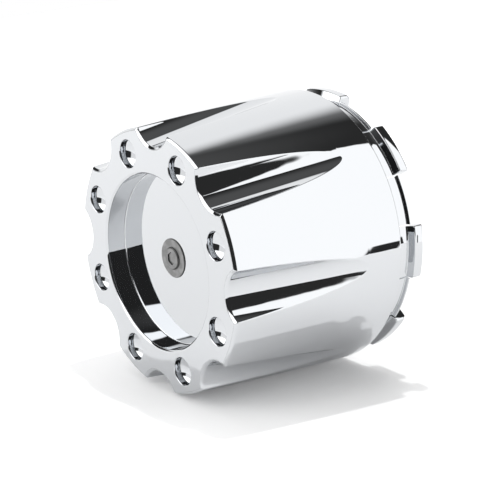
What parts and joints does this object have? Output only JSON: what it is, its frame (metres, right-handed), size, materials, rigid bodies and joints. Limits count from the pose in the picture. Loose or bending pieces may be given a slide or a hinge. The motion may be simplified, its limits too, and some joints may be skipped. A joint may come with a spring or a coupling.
{
  "type": "wheel center cap",
  "caption": "Tall chrome center cap: a hollow fluted drum with a scalloped recessed face, round blind holes in its lobes, a center screw, and snap clips behind the rim.",
  "frame": {"origin": "on the cap's axis, at the level of the clip ends, which is the bottom of the bounding box as the cap stands on its open end", "axes": "+Z along the cap's axis, out of the face; +X through one lobe, so the flutes and the clips lie 22.5 degrees to its sides"},
  "size_m": [0.134, 0.134, 0.106],
  "materials": {
    "chrome_plate": "mirror-bright chrome plate on a moulded plastic body",
    "grey_steel": "dull grey steel, lightly brushed",
    "zinc_steel": "plain zinc-plated steel"
  },
  "bodies": {
    "root": {"cap_body": "chrome_plate", "screw_washer": "grey_steel", "centre_screw": "grey_steel", "lock_nut": "zinc_steel"}
  },
  "joints": []
}
